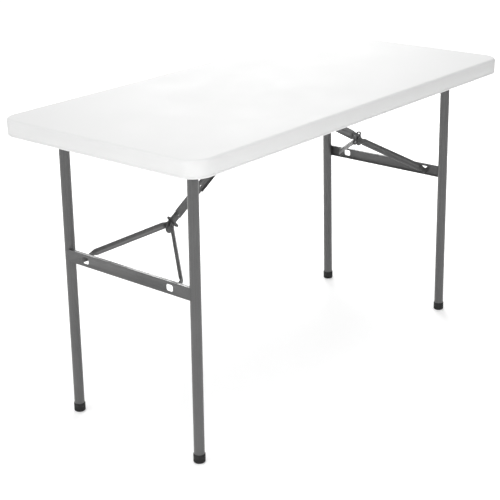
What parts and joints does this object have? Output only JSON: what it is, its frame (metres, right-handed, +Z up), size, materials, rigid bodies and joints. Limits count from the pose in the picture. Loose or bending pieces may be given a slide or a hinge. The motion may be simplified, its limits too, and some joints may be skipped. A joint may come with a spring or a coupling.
{
  "type": "folding table",
  "caption": "Rectangular moulded table top on two folding leg frames, each braced by a V brace, a link and a sliding lock ring.",
  "frame": {"origin": "on the floor under the middle of the table", "axes": "+X along the top, +Y across it, +Z up"},
  "size_m": [1.22, 0.61, 0.74],
  "materials": {
    "white_plastic": "blow-moulded polyethylene, fine matt grain",
    "grey_paint": "grey powder coat, slight orange peel",
    "ring_steel": "dark grey coated wire",
    "zinc_steel": "zinc plated",
    "black_plastic": "moulded, matt",
    "foot_rubber": "matt black"
  },
  "bodies": {
    "table": {"tabletop": "white_plastic", "front_side_rail": "grey_paint", "back_side_rail": "grey_paint", "centre_bracket": "grey_paint", "bracket_screws": "zinc_steel", "rail_screws": "zinc_steel", "left_link_pin": "zinc_steel", "right_link_pin": "zinc_steel", "left_pivot_bushes": "black_plastic", "right_pivot_bushes": "black_plastic"},
    "left_leg_frame": {"left_pivot_tube": "grey_paint", "left_pivot_caps": "black_plastic", "left_front_leg": "grey_paint", "left_back_leg": "grey_paint", "left_crossbar": "grey_paint", "left_ear_rivets": "grey_paint", "left_front_foot": "foot_rubber", "left_back_foot": "foot_rubber"},
    "left_brace_arms": {"left_front_arm": "grey_paint", "left_back_arm": "grey_paint", "left_knuckle_heads": "grey_paint"},
    "left_brace_link": {"left_brace_link": "grey_paint", "left_knuckle_shank": "zinc_steel"},
    "left_lock_ring": {"left_lock_ring": "ring_steel"},
    "right_leg_frame": {"right_pivot_tube": "grey_paint", "right_pivot_caps": "black_plastic", "right_front_leg": "grey_paint", "right_back_leg": "grey_paint", "right_crossbar": "grey_paint", "right_ear_rivets": "grey_paint", "right_front_foot": "foot_rubber", "right_back_foot": "foot_rubber"},
    "right_brace_arms": {"right_front_arm": "grey_paint", "right_back_arm": "grey_paint", "right_knuckle_heads": "grey_paint"},
    "right_brace_link": {"right_brace_link": "grey_paint", "right_knuckle_shank": "zinc_steel"},
    "right_lock_ring": {"right_lock_ring": "ring_steel"}
  },
  "joints": [
    {"name": "left_leg_fold", "type": "hinge", "parent": "table", "child": "left_leg_frame", "pos_m": [-0.5207, -0.014, 0.692], "axis": [0, -1, 0], "range_deg": [0, 91.2]},
    {"name": "left_arm_swing", "type": "hinge", "parent": "left_leg_frame", "child": "left_brace_arms", "pos_m": [-0.52208, -0.014, 0.41141], "axis": [0, -1, 0], "range_deg": [0, 57.85]},
    {"name": "left_link_swing", "type": "hinge", "parent": "table", "child": "left_brace_link", "pos_m": [-0.025, -0.014, 0.7065], "axis": [0, 1, 0], "range_deg": [0, 29.44]},
    {"name": "left_ring_slide", "type": "slide", "parent": "left_brace_link", "child": "left_lock_ring", "axis": [0.8599, 0, 0.5105], "range_m": [0, 0.1002]},
    {"name": "right_leg_fold", "type": "hinge", "parent": "table", "child": "right_leg_frame", "pos_m": [0.5207, 0.014, 0.692], "axis": [0, 1, 0], "range_deg": [0, 90.74]},
    {"name": "right_arm_swing", "type": "hinge", "parent": "right_leg_frame", "child": "right_brace_arms", "pos_m": [0.51982, 0.014, 0.4114], "axis": [0, 1, 0], "range_deg": [0, 51.26]},
    {"name": "right_link_swing", "type": "hinge", "parent": "table", "child": "right_brace_link", "pos_m": [0.025, 0.014, 0.7065], "axis": [0, -1, 0], "range_deg": [0, 26.39]},
    {"name": "right_ring_slide", "type": "slide", "parent": "right_brace_link", "child": "right_lock_ring", "axis": [-0.8859, 0, 0.464], "range_m": [0, 0.1002]}
  ],
  "couplings": [
    {"joint": "left_arm_swing", "follows": "left_leg_fold", "ratio": 0.63382},
    {"joint": "left_link_swing", "follows": "left_leg_fold", "ratio": 0.32224},
    {"joint": "left_ring_slide", "follows": "left_leg_fold", "m_per_rad": 0.06282},
    {"joint": "right_arm_swing", "follows": "right_leg_fold", "ratio": 0.56436},
    {"joint": "right_link_swing", "follows": "right_leg_fold", "ratio": 0.29023},
    {"joint": "right_ring_slide", "follows": "right_leg_fold", "m_per_rad": 0.06314}
  ]
}
